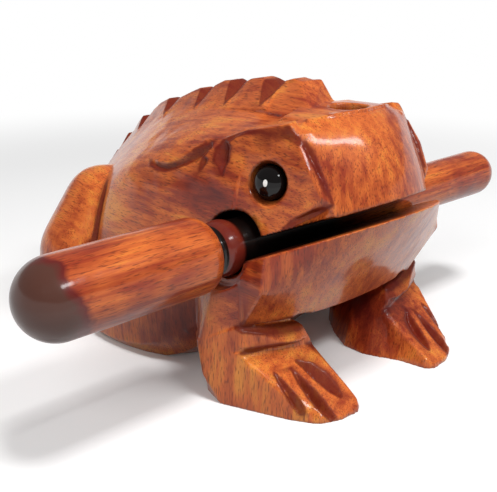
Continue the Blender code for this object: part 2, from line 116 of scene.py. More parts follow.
def add(tree, kind, settings=None, inputs=None, stops=()):
    """Adds one node; settings fill its attributes, inputs its sockets, with values or other nodes' sockets."""
    node = tree.nodes.new(kind)
    for key, value in (settings or {}).items():
        setattr(node, key, value)
    for key, value in (inputs or {}).items():
        if isinstance(value, bpy.types.NodeSocket):
            tree.links.new(value, node.inputs[key])
        else:
            node.inputs[key].default_value = value
    for index, (position, tint) in enumerate(stops):
        elements = node.color_ramp.elements
        element = elements[index] if index < 2 else elements.new(position)
        element.position = position
        element.color = tint
    return node


def rgba(values, level=1.0):
    return (*(level * v for v in values), 1.0)


ADD = {"operation": "ADD"}
MULTIPLY = {"operation": "MULTIPLY"}
MULTIPLY_ADD = {"operation": "MULTIPLY_ADD"}
COLOUR_MIX = {"data_type": "RGBA"}


def new_material(name):
    mat = bpy.data.materials.new(name)
    mat.use_nodes = True
    mat.node_tree.nodes.clear()
    return mat


# Lengths of the pattern's cells along and across the fibres, in mm
PORE = (2.3, 0.25, 0.25)  # real pores are about 1.5 by 0.15 mm; drawn coarser so that they show
STREAK = (26.0, 1.7, 1.7)


def grain(tree, point, turn):
    """Short dark pores, and the broader streaks between them, in wood whose fibres run along X once turned."""
    along = add(tree, "ShaderNodeMapping", {"vector_type": "TEXTURE"}, {"Vector": point, "Rotation": turn}).outputs[0]
    fine = add(tree, "ShaderNodeMapping", {}, {"Vector": along, "Scale": [1 / v for v in PORE]}).outputs[0]
    pores = add(tree, "ShaderNodeTexNoise", {}, {"Vector": fine, "Scale": 1.0, "Detail": 1.0, "Roughness": 0.6})
    wide = add(tree, "ShaderNodeMapping", {}, {"Vector": along, "Scale": [1 / v for v in STREAK]}).outputs[0]
    streaks = add(tree, "ShaderNodeTexNoise", {}, {"Vector": wide, "Scale": 1.0, "Detail": 3.0, "Roughness": 0.62,
                                                   "Distortion": 0.35})
    return pores.outputs["Fac"], streaks.outputs["Fac"]


CLOUD = 0.06              # patches of darker or paler wood, per mm
DIMPLE = 0.15             # low waves that sanding by hand leaves, per mm
COAT = 0.62               # how much of the lacquer's gloss shows
CUT_COAT = 0.1            # and how much where the knife left the wood rough


def lacquered_wood(name, colours, turn, layers=(), marks=(), end_grain=False):
    """Acacia, stained and lacquered by hand: amber to red brown with short dark pores along the fibres, dark stain
    in the knife cuts, a painted highlight on the arrises, painted shade inside the mouth, the bore and the sound
    hole, and a thick glossy coat that carries the reflections. turn lays the fibres; layers are (attribute, turn)
    of faces where they run another way."""
    mat = new_material(name)
    tree = mat.node_tree
    where = add(tree, "ShaderNodeTexCoord").outputs["Object"]
    point = add(tree, "ShaderNodeMapping", {}, {"Vector": where, "Scale": (1000, 1000, 1000)}).outputs[0]
    pores, streaks = grain(tree, point, turn)
    for attribute, other in layers:
        share = add(tree, "ShaderNodeAttribute", {"attribute_name": attribute}).outputs["Fac"]
        more_pores, more_streaks = grain(tree, point, other)
        pores = add(tree, "ShaderNodeMix", {}, {0: share, 2: pores, 3: more_pores}).outputs[0]
        streaks = add(tree, "ShaderNodeMix", {}, {0: share, 2: streaks, 3: more_streaks}).outputs[0]

    clouds = add(tree, "ShaderNodeTexNoise", {}, {"Vector": point, "Scale": CLOUD, "Detail": 2.0, "Distortion": 0.9})
    tone = add(tree, "ShaderNodeMath", MULTIPLY, {0: clouds.outputs["Fac"], 1: 0.62}).outputs[0]
    tone = add(tree, "ShaderNodeMath", MULTIPLY_ADD, {0: streaks, 1: 0.62, 2: tone}).outputs[0]
    if end_grain:
        tone = add(tree, "ShaderNodeMath", ADD, {0: tone, 1: STICK_DARKER}).outputs[0]
    else:
        # darker or paler patches, partly the wood's own tone and partly painted shade and light
        tone_and_shade = add(tree, "ShaderNodeAttribute", {"attribute_name": "tone_and_shade"}).outputs["Fac"]
        tone = add(tree, "ShaderNodeMath", ADD, {0: tone, 1: tone_and_shade}).outputs[0]
    base = add(tree, "ShaderNodeValToRGB", {}, {"Fac": tone},
               ((0.44, rgba(colours.amber)), (1.0, rgba(colours.maroon)), (0.60, rgba(colours.orange)),
                (0.78, rgba(colours.red)))).outputs[0]
    dark = add(tree, "ShaderNodeMapRange", {}, {"Value": pores, "From Min": 0.55, "From Max": 0.68, "To Max": 0.62})
    base = add(tree, "ShaderNodeMix", COLOUR_MIX, {0: dark.outputs[0], 6: base, 7: rgba(colours.fleck)}).outputs[2]
    if end_grain:
        base = stick_stain_and_shade(tree, base, point, colours)
    coat = COAT
    for attribute, strength, tint in marks:
        amount = add(tree, "ShaderNodeAttribute", {"attribute_name": attribute}).outputs["Fac"]
        amount = add(tree, "ShaderNodeMath", MULTIPLY, {0: amount, 1: strength}).outputs[0]
        if attribute == "cut":
            coat = add(tree, "ShaderNodeMapRange", {}, {"Value": amount, "To Min": COAT,
                                                        "To Max": CUT_COAT}).outputs[0]
        base = add(tree, "ShaderNodeMix", COLOUR_MIX, {0: amount, 6: base, 7: rgba(tint)}).outputs[2]

    wobble = add(tree, "ShaderNodeTexNoise", {}, {"Vector": point, "Scale": DIMPLE, "Detail": 1.0}).outputs["Fac"]
    hand = add(tree, "ShaderNodeBump", {}, {"Height": wobble, "Strength": 1.0, "Distance": 0.3 * MM}).outputs[0]
    open_pores = add(tree, "ShaderNodeBump", {}, {"Height": pores, "Strength": 0.3, "Distance": 0.05 * MM,
                                                  "Normal": hand}).outputs[0]
    shader = add(tree, "ShaderNodeBsdfPrincipled", {},
                 {"Base Color": base, "Roughness": 0.42, "IOR": 1.5, "Specular IOR Level": 0.15,
                  "Normal": open_pores, "Coat Weight": coat, "Coat Roughness": 0.14, "Coat IOR": 1.5,
                  "Coat Normal": hand})
    add(tree, "ShaderNodeOutputMaterial", {}, {"Surface": shader.outputs[0]})
    return mat


STICK_DARKER = 0.075      # how much redder the stick's wood is than the frog's
DOME_SLANT = 0.25         # the handle's end grain leans with the height, by this share
DOME_LEVEL = -8.3         # mm added, so that it stays put at the stick's middle height
DOME_BLOT = 0.22          # blots at its border, per mm
DOME_RAGGED = 9.0         # mm that the border wanders
SOAK = (-59.6, -61.4)     # x where the dark stain starts and is full, before the border wanders, in mm
END_GRAIN = (-61.6, -64.6)
MOUTH_SHADE = (17.0, -2.0)        # x where the painted shade on the rod starts and is full
COLLAR_END = (-27.4, -26.4)       # x over which the collar gives way to it
RED_END = -20.0           # x where the collar's red stain has ended, inside the bore


def stick_stain_and_shade(tree, base, point, colours):
    """Colours that only the stick has: the stain of its brown end grain and maroon collar, and painted shade in the
    neck's groove and on the rod inside the mouth and the bore.
    """
    along, _, up = add(tree, "ShaderNodeSeparateXYZ", {}, {0: point}).outputs
    level = add(tree, "ShaderNodeMath", MULTIPLY_ADD, {0: up, 1: DOME_SLANT, 2: DOME_LEVEL}).outputs[0]
    slanted = add(tree, "ShaderNodeMath", ADD, {0: along, 1: level}).outputs[0]
    blots = add(tree, "ShaderNodeTexNoise", {}, {"Vector": point, "Scale": DOME_BLOT, "Detail": 2.0}).outputs["Fac"]
    ragged = add(tree, "ShaderNodeMath", MULTIPLY_ADD, {0: blots, 1: DOME_RAGGED, 2: slanted}).outputs[0]
    soak, end, inner = [
        add(tree, "ShaderNodeMapRange", {}, {"Value": value, "From Min": start, "From Max": full}).outputs[0]
        for value, (start, full) in ((ragged, SOAK), (ragged, END_GRAIN), (along, COLLAR_END))]
    collar = add(tree, "ShaderNodeMapRange", {}, {"Value": along, "From Min": HANDLE_SHOULDER - 0.6,
                                                  "From Max": HANDLE_SHOULDER + 0.4, "To Max": 0.95}).outputs[0]
    near = add(tree, "ShaderNodeMath", {"operation": "LESS_THAN"}, {0: along, 1: RED_END}).outputs[0]
    collar = add(tree, "ShaderNodeMath", MULTIPLY, {0: collar, 1: near}).outputs[0]
    for amount, tint in ((soak, colours.maroon), (end, colours.end_grain), (collar, colours.maroon)):
        base = add(tree, "ShaderNodeMix", COLOUR_MIX, {0: amount, 6: base, 7: rgba(tint)}).outputs[2]
    # painted shade in the neck's groove, and on the rod inside the mouth and the bore, where little light reaches
    groove = add(tree, "ShaderNodeMath", {"operation": "COMPARE"},
                 {0: along, 1: HANDLE_SHOULDER + NECK_LENGTH / 2, 2: NECK_LENGTH * 0.62}).outputs[0]
    mouth = add(tree, "ShaderNodeMapRange", {"interpolation_type": "SMOOTHSTEP"},
                {"Value": along, "From Min": MOUTH_SHADE[0], "From Max": MOUTH_SHADE[1]}).outputs[0]
    mouth = add(tree, "ShaderNodeMath", MULTIPLY, {0: mouth, 1: inner}).outputs[0]
    for amount in (groove, mouth):
        base = add(tree, "ShaderNodeMix", COLOUR_MIX, {0: amount, 6: base, 7: rgba(colours.painted_shade)}).outputs[2]
    return base


def black_bead(name, colours):
    """Black glass bead with a dot of white enamel: deep, hard and mirror smooth."""
    mat = new_material(name)
    tree = mat.node_tree
    where = add(tree, "ShaderNodeTexCoord").outputs["Object"]
    gaps = []
    for side in (-1, 1):
        squashed = add(tree, "ShaderNodeVectorMath", MULTIPLY_ADD,
                       {0: where, 1: DOT_SCALE, 2: [-a * b for a, b in zip(place(dot_centre(side)), DOT_SCALE)]})
        gaps.append(add(tree, "ShaderNodeVectorMath", {"operation": "LENGTH"},
                        {0: squashed.outputs[0]}).outputs["Value"])
    near = add(tree, "ShaderNodeMath", {"operation": "MINIMUM"}, {0: gaps[0], 1: gaps[1]}).outputs[0]
    painted = add(tree, "ShaderNodeMapRange", {}, {"Value": near, "From Min": 1.06, "From Max": 0.9}).outputs[0]
    base = add(tree, "ShaderNodeMix", COLOUR_MIX,
               {0: painted, 6: rgba(colours.bead), 7: rgba(colours.dot)}).outputs[2]
    shader = add(tree, "ShaderNodeBsdfPrincipled", {}, {"Base Color": base, "Roughness": 0.07, "IOR": 1.38})
    add(tree, "ShaderNodeOutputMaterial", {}, {"Surface": shader.outputs[0]})
    return mat


TABLE_NEAR = 0.16         # metres from the frog where the white starts to turn clean
TABLE_FAR = 0.31          # and has turned


def white_table(name, colours):
    """Matt white table and backdrop: it takes the shadow close to the frog, the lens and the gloss see it clean white
    further off, and only part of its light comes back to the wood."""
    mat = new_material(name)
    tree = mat.node_tree
    seen = add(tree, "ShaderNodeLightPath")
    shown = seen.outputs["Is Camera Ray"]
    for ray in ("Is Glossy Ray", "Is Transmission Ray"):
        shown = add(tree, "ShaderNodeMath", {"operation": "MAXIMUM"}, {0: shown, 1: seen.outputs[ray]}).outputs[0]
    matt = add(tree, "ShaderNodeBsdfDiffuse", {}, {"Color": rgba(colours.table, 0.87)})
    glow = add(tree, "ShaderNodeEmission", {}, {"Color": rgba(colours.table), "Strength": 0.02})
    lifted = add(tree, "ShaderNodeAddShader", {}, {0: matt.outputs[0], 1: glow.outputs[0]})
    sheet = add(tree, "ShaderNodeEmission", {}, {"Color": rgba(colours.table), "Strength": 1.0})
    where = add(tree, "ShaderNodeTexCoord").outputs["Object"]
    away = add(tree, "ShaderNodeVectorMath", {"operation": "LENGTH"}, {0: where}).outputs["Value"]
    far = add(tree, "ShaderNodeMapRange", {"interpolation_type": "SMOOTHSTEP"},
              {"Value": away, "From Min": TABLE_NEAR, "From Max": TABLE_FAR}).outputs[0]
    bright = add(tree, "ShaderNodeMixShader", {}, {0: far, 1: lifted.outputs[0], 2: sheet.outputs[0]})
    dim = add(tree, "ShaderNodeBsdfDiffuse", {}, {"Color": rgba(colours.table, 0.3)})
    shader = add(tree, "ShaderNodeMixShader", {}, {0: shown, 1: dim.outputs[0], 2: bright.outputs[0]})
    add(tree, "ShaderNodeOutputMaterial", {}, {"Surface": shader.outputs[0]})
    return mat


def new_object(name, bm):
    mesh = bpy.data.meshes.new(name)
    bm.to_mesh(mesh)
    bm.free()
    obj = bpy.data.objects.new(name, mesh)
    bpy.context.scene.collection.objects.link(obj)
    return obj


def hull(name, points):
    """Convex solid around the points, given in the carver's frame."""
    bm = bmesh.new()
    verts = [bm.verts.new(place(p)) for p in points]
    result = bmesh.ops.convex_hull(bm, input=verts)
    spare = {g for g in result["geom_interior"] + result["geom_unused"] if isinstance(g, bmesh.types.BMVert)}
    bmesh.ops.delete(bm, geom=list(spare), context="VERTS")
    bmesh.ops.recalc_face_normals(bm, faces=bm.faces)
    return new_object(name, bm)


def loft(name, rings):
    """Closed solid through rings that have the same number of points."""
    bm = bmesh.new()
    rows = [[bm.verts.new(place(p)) for p in ring] for ring in rings]
    for lower, upper in zip(rows, rows[1:]):
        for i in range(len(lower)):
            j = (i + 1) % len(lower)
            bm.faces.new((lower[i], lower[j], upper[j], upper[i]))
    bm.faces.new(rows[0])
    bm.faces.new(rows[-1])
    bmesh.ops.triangulate(bm, faces=bm.faces)
    bmesh.ops.recalc_face_normals(bm, faces=bm.faces)
    return new_object(name, bm)


def bake(obj):
    """Turns the object's evaluated shape into its plain mesh and clears its modifiers."""
    depsgraph = bpy.context.evaluated_depsgraph_get()
    mesh = bpy.data.meshes.new_from_object(obj.evaluated_get(depsgraph), depsgraph=depsgraph)
    obj.modifiers.clear()
    old = obj.data
    obj.data = mesh
    bpy.data.meshes.remove(old)
    return obj


def drop(obj):
    data = obj.data
    bpy.data.objects.remove(obj, do_unlink=True)
    (bpy.data.meshes if isinstance(data, bpy.types.Mesh) else bpy.data.curves).remove(data)


def skin(obj, spacing):
    mod = obj.modifiers.new("Skin", "REMESH")
    mod.mode = "VOXEL"
    mod.voxel_size = spacing
    mod.adaptivity = 0.0
    return bake(obj)


def boolean(obj, other, operation):
    mod = obj.modifiers.new(other.name, "BOOLEAN")
    mod.operation = operation
    mod.solver = "MANIFOLD"
    mod.object = other


def points_of(obj):
    co = np.empty(len(obj.data.vertices) * 3)
    obj.data.vertices.foreach_get("co", co)
    return co.reshape(-1, 3)


def rub(obj, weights, passes):
    """Sands the mesh, each point by its weight."""
    store(obj, "rub", weights)
    mesh = shaped_by(obj, "Sanding", passes=passes)
    old = obj.data
    obj.data = mesh
    bpy.data.meshes.remove(old)
    obj.data.attributes.remove(obj.data.attributes["rub"])


def arris_angle(spot):
    """Smallest angle that counts as an arris there, in degrees: the crest keeps soft ones, the haunch none."""
    x, y, z = spot / MM
    y += BELLY_Y
    if y > 40 and abs(x) > 10.5:
        return 55
    if y > -4 and abs(x) < 9.8:
        return 19
    return 28


def arris_distance(obj, source, reach):
    """Distance of each point of the object from the nearest arris of the source mesh, up to reach."""
    bm = bmesh.new()
    bm.from_mesh(source)
    spots = []
    for edge in bm.edges:
        if len(edge.link_faces) == 2:
            a, b = edge.verts[0].co, edge.verts[1].co
            if math.degrees(edge.calc_face_angle(0.0)) > arris_angle((a + b) / 2):
                steps = max(2, int((b - a).length / (0.3 * MM)))
                spots += [a.lerp(b, k / steps) for k in range(steps + 1)]
    bm.free()
    tree = KDTree(len(spots))
    for index, spot in enumerate(spots):
        tree.insert(spot, index)
    tree.balance()
    return np.array([min(tree.find(v.co)[2], reach) for v in obj.data.vertices])


def cutter_distance(obj, cutters, reach):
    """Distance of each point from the nearest cutter's skin, up to reach."""
    nearest = np.full(len(obj.data.vertices), reach)
    for cutter in cutters:
        tree = BVHTree.FromPolygons([v.co for v in cutter.data.vertices],
                                    [tuple(p.vertices) for p in cutter.data.polygons])
        low = np.array([v.co for v in cutter.data.vertices]).min(0) - reach
        high = np.array([v.co for v in cutter.data.vertices]).max(0) + reach
        for index, vertex in enumerate(obj.data.vertices):
            co = vertex.co
            if all(low[k] < co[k] < high[k] for k in range(3)):
                found = tree.find_nearest(co, reach)
                if found[0] is not None:
                    nearest[index] = min(nearest[index], found[3])
    return nearest


def store(obj, name, values):
    attribute = obj.data.attributes.new(name, "FLOAT", "POINT")
    attribute.data.foreach_set("value", np.asarray(values, np.float32))


def finish_piece(obj, node, material):
    """Gives the piece its material and its place in the frame."""
    if not obj.data.polygons:
        raise RuntimeError(obj.name + " came out empty")
    obj.data.materials.clear()
    obj.data.materials.append(material)
    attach(obj, "root")
    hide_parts(node)


EYE_CENTRE = (21.4, -6.5, 47.0)
EYE_AXIS = (0.93, -0.32, 0.19)
BEAD_RADIUS = 3.5
BEAD_EDGE = 1.4
BEAD_DOME = 2.2
BEAD_DEPTH = 4.2
DOT_SCALE = (2000, 2000, 1320)      # one over the dot's half width and half height, in metres


def eye_line(side):
    centre = Vector((EYE_CENTRE[0] * side, EYE_CENTRE[1], EYE_CENTRE[2]))
    axis = Vector((EYE_AXIS[0] * side, EYE_AXIS[1], EYE_AXIS[2])).normalized()
    return centre, axis


def dot_centre(side):
    centre, axis = eye_line(side)
    return centre + axis * (BEAD_DOME - BEAD_EDGE)


def new_tree(name, inputs):
    tree = bpy.data.node_groups.new(name, "GeometryNodeTree")
    for label, kind in inputs:
        tree.interface.new_socket(label, in_out="INPUT", socket_type=kind)
    tree.interface.new_socket("Piece", in_out="OUTPUT", socket_type="NodeSocketGeometry")
    return tree, add(tree, "NodeGroupInput").outputs


def end_tree(tree, piece, finish):
    real = add(tree, "GeometryNodeRealizeInstances", {}, {"Geometry": piece}).outputs[0]
    done = add(tree, "GeometryNodeSetMaterial", {}, {"Geometry": real, "Material": finish}).outputs[0]
    add(tree, "NodeGroupOutput", {}, {"Piece": done})
    return tree


def turned_tree():
    """Turns a profile curve about the X axis: the profile's Y is the radius."""
    tree, given = new_tree("Turned piece", (("Profile", "NodeSocketGeometry"), ("Rows", "NodeSocketInt"),
                                            ("Sides", "NodeSocketInt"), ("Finish", "NodeSocketMaterial")))
    columns = add(tree, "ShaderNodeMath", ADD, {0: given["Sides"], 1: 1.0}).outputs[0]
    grid = add(tree, "GeometryNodeMeshGrid", {}, {"Size X": 1.0, "Size Y": 1.0, "Vertices X": given["Rows"],
                                                  "Vertices Y": columns}).outputs["Mesh"]
    flat = add(tree, "ShaderNodeSeparateXYZ", {}, {0: add(tree, "GeometryNodeInputPosition").outputs[0]})
    factor = add(tree, "ShaderNodeMath", ADD, {0: flat.outputs["X"], 1: 0.5}).outputs[0]
    turn = add(tree, "ShaderNodeMath", MULTIPLY, {0: flat.outputs["Y"], 1: 2 * math.pi}).outputs[0]
    sample = add(tree, "GeometryNodeSampleCurve", {"mode": "FACTOR", "use_all_curves": True},
                 {"Curves": given["Profile"], "Factor": factor}).outputs["Position"]
    spot = add(tree, "ShaderNodeSeparateXYZ", {}, {0: sample}).outputs
    cosine = add(tree, "ShaderNodeMath", {"operation": "COSINE"}, {0: turn}).outputs[0]
    sine = add(tree, "ShaderNodeMath", {"operation": "SINE"}, {0: turn}).outputs[0]
    y = add(tree, "ShaderNodeMath", MULTIPLY, {0: spot["Y"], 1: cosine}).outputs[0]
    z = add(tree, "ShaderNodeMath", MULTIPLY, {0: spot["Y"], 1: sine}).outputs[0]
    ring = add(tree, "ShaderNodeCombineXYZ", {}, {0: spot["X"], 1: y, 2: z}).outputs[0]
    moved = add(tree, "GeometryNodeSetPosition", {}, {"Geometry": grid, "Position": ring}).outputs[0]
    closed = add(tree, "GeometryNodeMergeByDistance", {}, {"Geometry": moved, "Distance": 0.000002}).outputs[0]
    smooth = add(tree, "GeometryNodeSetShadeSmooth", {}, {"Geometry": closed}).outputs[0]
    return end_tree(tree, smooth, given["Finish"])


def chisel_tree():
    """Sets small wedge cuts across a path at even spacing, the marks of a chisel that was pushed along it."""
    tree, given = new_tree("Chisel marks", (("Path", "NodeSocketGeometry"), ("Spacing", "NodeSocketFloat"),
                                            ("Width", "NodeSocketFloat"), ("Depth", "NodeSocketFloat"),
                                            ("Finish", "NodeSocketMaterial")))
    spots = add(tree, "GeometryNodeCurveToPoints", {"mode": "LENGTH"},
                {"Curve": given["Path"], "Length": given["Spacing"]})
    wedge = add(tree, "GeometryNodeMeshCylinder", {}, {"Vertices": 4, "Radius": 0.5, "Depth": 1.0}).outputs["Mesh"]
    laid = add(tree, "GeometryNodeTransform", {}, {"Geometry": wedge, "Rotation": (0, math.pi / 2, 0)}).outputs[0]
    size = add(tree, "ShaderNodeCombineXYZ", {}, {0: given["Width"], 1: given["Depth"], 2: given["Depth"]}).outputs[0]
    marks = add(tree, "GeometryNodeInstanceOnPoints", {},
                {"Points": spots.outputs["Points"], "Instance": laid, "Rotation": spots.outputs["Rotation"],
                 "Scale": size}).outputs[0]
    return end_tree(tree, marks, given["Finish"])


def sanding_tree():
    """Draws each point towards its neighbours, as far as its rub attribute allows."""
    tree, given = new_tree("Sanding", (("Wood", "NodeSocketGeometry"), ("Passes", "NodeSocketInt"),
                                       ("Finish", "NodeSocketMaterial")))
    here = add(tree, "GeometryNodeInputPosition").outputs[0]
    share = add(tree, "GeometryNodeInputNamedAttribute", {"data_type": "FLOAT"}, {"Name": "rub"}).outputs[0]
    blurred = add(tree, "GeometryNodeBlurAttribute", {"data_type": "FLOAT_VECTOR"},
                  {"Value": here, "Iterations": given["Passes"], "Weight": share}).outputs[0]
    moved = add(tree, "GeometryNodeSetPosition", {}, {"Geometry": given["Wood"], "Position": blurred}).outputs[0]
    return end_tree(tree, moved, given["Finish"])


TREES = {"Turned piece": turned_tree, "Chisel marks": chisel_tree, "Sanding": sanding_tree}


def shaped_by(obj, tree_name, **values):
    """Plain mesh of the object after the named tree, whose inputs are given with capital first letters."""
    mod = obj.modifiers.new(tree_name, "NODES")
    mod.node_group = bpy.data.node_groups.get(tree_name) or TREES[tree_name]()
    for item in mod.node_group.interface.items_tree:
        if item.item_type == "SOCKET" and item.in_out == "INPUT" and item.name.lower() in values:
            mod[item.identifier] = values[item.name.lower()]
    depsgraph = bpy.context.evaluated_depsgraph_get()
    mesh = bpy.data.meshes.new_from_object(obj.evaluated_get(depsgraph), depsgraph=depsgraph)
    obj.modifiers.remove(mod)
    return mesh


def path_object(name, points):
    curve = bpy.data.curves.new(name, "CURVE")
    curve.dimensions = "3D"
    spline = curve.splines.new("POLY")
    spline.points.add(len(points) - 1)
    for spot, point in zip(spline.points, points):
        spot.co = (*point, 1.0)
    obj = bpy.data.objects.new(name, curve)
    bpy.context.scene.collection.objects.link(obj)
    return obj


def turn_piece(name, profile, rows, sides, material, matrix):
    """Object turned from a profile of (x, radius) points in mm, put in place by the matrix."""
    shape = path_object(name + "_profile", [(x * MM, r * MM, 0.0) for x, r in profile])
    mesh = shaped_by(shape, "Turned piece", rows=rows, sides=sides, finish=material)
    mesh.name = name
    drop(shape)
    bm = bmesh.new()
    bm.from_mesh(mesh)
    bmesh.ops.remove_doubles(bm, verts=bm.verts, dist=0.000001)
    bmesh.ops.recalc_face_normals(bm, faces=bm.faces)
    bm.to_mesh(mesh)
    bm.free()
    mesh.transform(matrix)
    obj = bpy.data.objects.new(name, mesh)
    bpy.context.scene.collection.objects.link(obj)
    return obj


STICK_Z = 33.3
BORE_Y = -1.0
STICK_TURN = math.radians(-0.9)
HANDLE_RADIUS = 8.0
HANDLE_END = -74.6
HANDLE_SHOULDER = -32.3
HANDLE_ROUND = 4.2
NECK_RADIUS = 4.6
NECK_LENGTH = 1.2
COLLAR_HALF = 2.4         # half the collar's width and the height of its bulge
COLLAR_RISE = 1.2
ROD_RADIUS = 6.0
ROD_END = 67.4


def arc(cx, cr, radius, start, end, steps):
    spots = []
    for k in range(steps + 1):
        a = math.radians(start + (end - start) * k / steps)
        spots.append((cx + radius * math.cos(a), cr + radius * math.sin(a)))
    return spots


def stick_profile():
    """Turned outline of the stick, as (x, radius) in mm, from the handle's dome to the rod's end."""
    profile = arc(HANDLE_END + HANDLE_RADIUS, 0, HANDLE_RADIUS, 180, 90, 40)
    profile += arc(HANDLE_SHOULDER - HANDLE_ROUND, HANDLE_RADIUS - HANDLE_ROUND, HANDLE_ROUND, 90, 0, 16)
    neck = HANDLE_SHOULDER + NECK_LENGTH
    profile += [(HANDLE_SHOULDER + 0.06, NECK_RADIUS + 0.3), (HANDLE_SHOULDER + 0.3, NECK_RADIUS)]
    profile += [(neck - 0.2, NECK_RADIUS), (neck, NECK_RADIUS + 0.3)]
    profile += [(neck + COLLAR_HALF - COLLAR_HALF * math.cos(a), ROD_RADIUS - COLLAR_RISE + COLLAR_RISE * math.sin(a))
                for a in np.radians(range(10, 151, 8))]
    profile.append((neck + 5.4, ROD_RADIUS - 0.6))
    profile += arc(ROD_END - ROD_RADIUS, 0, ROD_RADIUS, 90, 0, 30)
    return profile


ALONG_BODY = (math.radians(-4), 0, math.radians(90))      # fibres run from nose to tail
UPRIGHT = (0, math.radians(90), math.radians(6))
SLANTING = (math.radians(30), 0, math.radians(90))


def both(points):
    return list(points) + [(-x, y, z) for x, y, z in points]


# Solids added to the block: the toes' wedge, the head's crown, the snout, the first tooth and the haunch's skin
TOE_WEDGE = ((29.9, -8.9, 10.9), (27.9, -14.9, 6.9), (25.5, -20.9, 2.9), (24.0, -23.4, 1.0),
             (24.0, -23.4, -1.0), (22.8, -24.5, 1.3), (22.8, -24.6, -1.0), (19.6, -26.0, 1.3),
             (19.6, -26.1, -1.0), (18.0, -26.4, 0.6), (26.6, -10.6, 12.2), (21.2, -12.4, 12.4),
             (15.4, -12.8, 11.0), (12.0, -12.4, 9.2), (18.0, -26.5, -1.0), (14.8, -26.6, 0.9),
             (14.8, -26.7, -1.0), (13.0, -26.2, 1.0), (13.0, -26.3, -1.0), (12.4, -24.8, 2.4),
             (17.8, -25.2, 2.6), (14.4, -25.4, 2.7), (22.8, -23.0, 2.5), (32.4, -5.4, -1.0), (33.2, -3.4, 2.4),
             (34.2, -0.4, 6.3), (27.0, -18.4, -1.0), (11.6, -25.0, -1.0), (9.6, -14.0, -1.0),
             (14.0, -8.0, 10.0), (28.0, -6.0, 9.0))
# Low side of the slab that is pared off the toes, and the height of its top
TOE_FACE = ((34.0, -7.0, 12.1), (30.4, -8.4, 11.5), (11.0, -13.0, 10.1), (8.0, -31.0, -1.2), (36.0, -31.0, -3.5))
TOE_FACE_TOP = 12.5
HEAD_CROWN = ((13.2, -9.4, 58.9), (12.6, -2.0, 58.6), (8.6, -12.2, 60.0), (8.0, -2.0, 59.8), (14.4, -9.2, 54.0),
              (13.0, 2.0, 54.0))
CROWN_MIDDLE = ((0, -14.3, 60.4), (0, -2.0, 60.2), (0, -13.0, 54.0))
# Arcs across the snout: half width, y at the sides and middle, z at both
SNOUT_BULGE = ((15.2, -19.6, -24.6, 41.2, 43.4), (15.5, -17.9, -23.6, 45.4, 47.0),
               (15.7, -15.9, -22.2, 49.0, 50.3), (15.8, -13.8, -20.5, 52.2, 53.3),
               (17.1, -11.8, -18.2, 55.2, 56.2), (17.6, -10.2, -16.4, 57.0, 57.9),
               (13.0, -9.0, -13.6, 59.2, 59.7))
SNOUT_BACK = ((8, -6, 44), (-8, -6, 44), (8, -4, 56), (-8, -4, 56))
FIRST_TOOTH = ((-9.0, -6.5, 58.5), (3.0, -4.0, 58.0), (3.0, 1.5, 64.4), (-2.0, 3.6, 64.2), (3.0, 8.7, 63.5),
               (-2.0, 8.7, 63.5), (-9.5, 6.4, 58.1), (9.0, 3.0, 58.0), (-8.0, -4.0, 54.0), (8.0, -1.0, 54.0),
               (0, 6.0, 54.0))
# Centre and radius of the balls that the haunch's skin goes round
HAUNCH_BALLS = ((20.6, 55.4, 29.2, 10.1), (27.2, 55.8, 17.4, 11.5), (28.0, 58.0, 8.5, 10.0),
                (20.0, 69.0, 12.0, 9.0))
HOLE_Y = -9.0             # the sound hole's middle and radius
HOLE_RADIUS = 4.2


def haunch_points(side):
    points = []
    for x, y, z, r in HAUNCH_BALLS:
        for lat in range(-84, 85, 12):
            for lon in range(0, 360, 12):
                a, b = math.radians(lat), math.radians(lon)
                spot = (side * (x + r * math.cos(a) * math.cos(b)), y + r * math.cos(a) * math.sin(b),
                        z + r * math.sin(a))
                points.append((spot[0], spot[1], max(spot[2], 0.0)))
    return points


